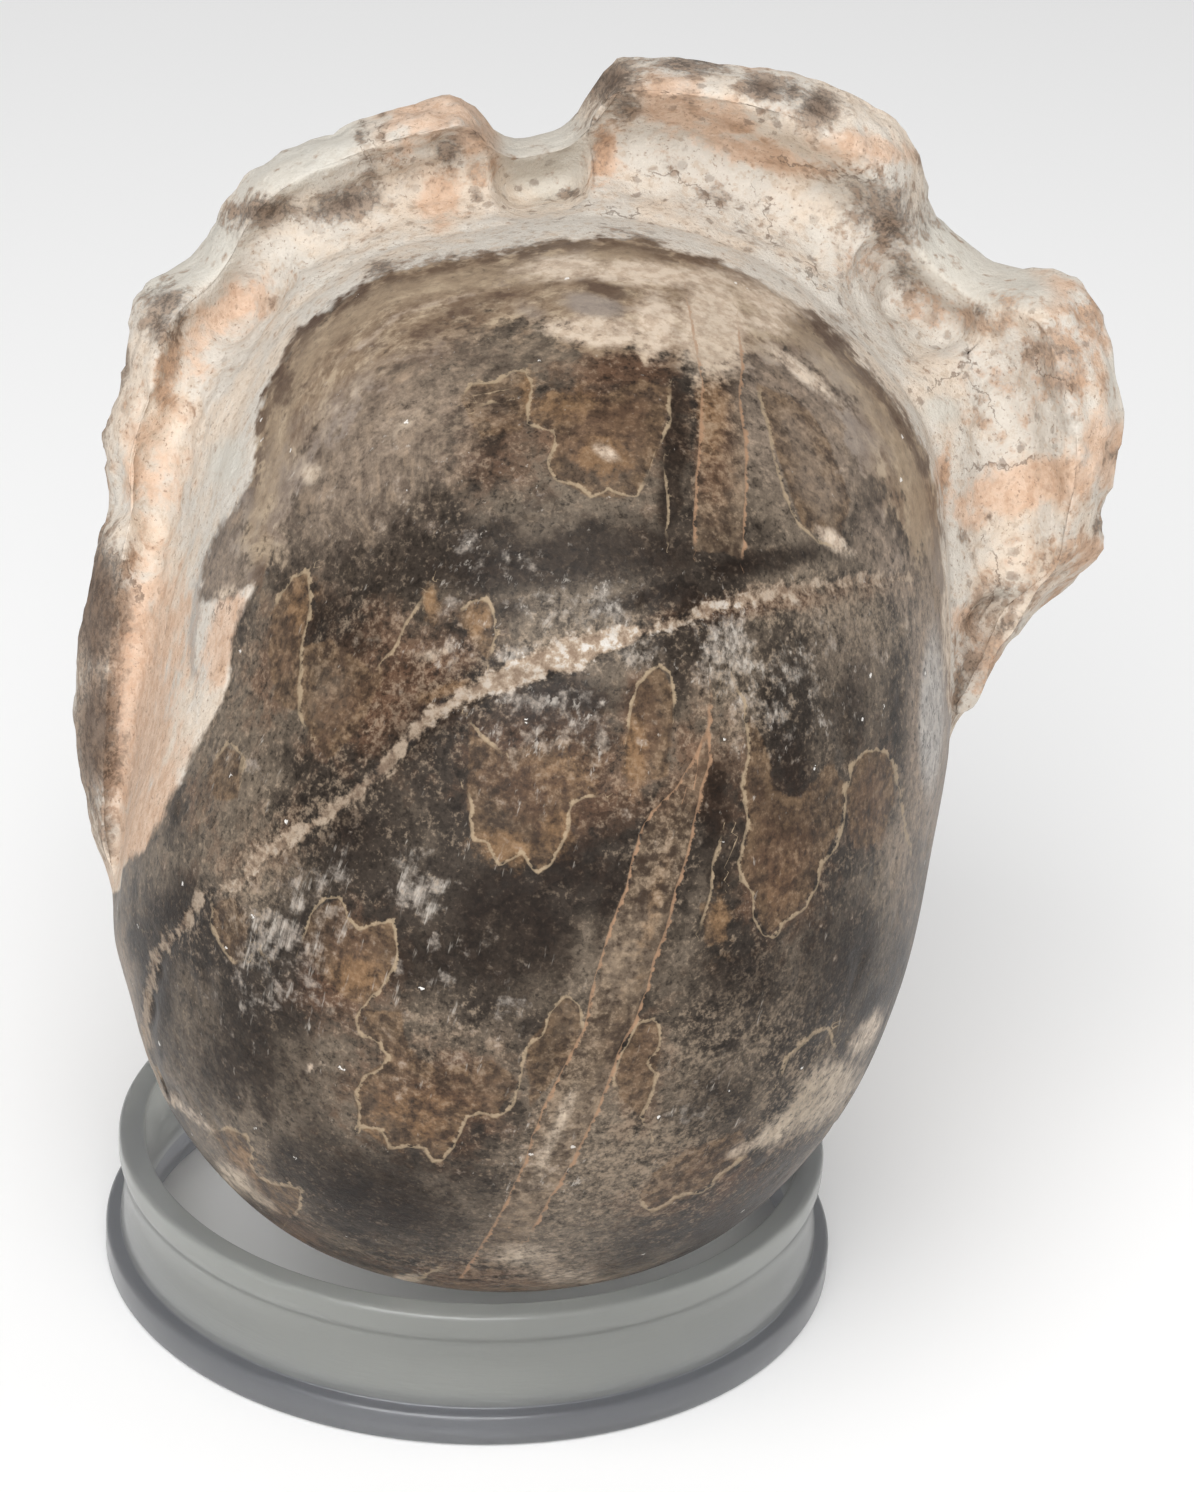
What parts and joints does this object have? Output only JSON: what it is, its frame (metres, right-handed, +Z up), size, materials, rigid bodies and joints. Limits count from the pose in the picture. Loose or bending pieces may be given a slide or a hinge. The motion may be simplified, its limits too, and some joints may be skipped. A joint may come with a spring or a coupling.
{
  "type": "vascoceras ammonite fossil on a clear display ring",
  "caption": "Polished ammonite fossil with a bulb of inner whorls inside the scalloped, broken edge of its last whorl, standing on a clear ring.",
  "frame": {"origin": "centre of the whole object's box, on the surface that it stands on", "axes": "+Z up; the open side of the hood, with the polished bulb, faces -Y; +X to the right of someone who looks at the bulb"},
  "size_m": [0.0876, 0.0993, 0.1081],
  "materials": {
    "fossil_stone": "polished brown calcite bulb with tan suture lines, matt cream and peach matrix round it",
    "clear_plastic": "clear, slightly hazy moulded plastic"
  },
  "bodies": {
    "root": {"ammonite": "fossil_stone", "display_ring": "clear_plastic"}
  },
  "joints": []
}
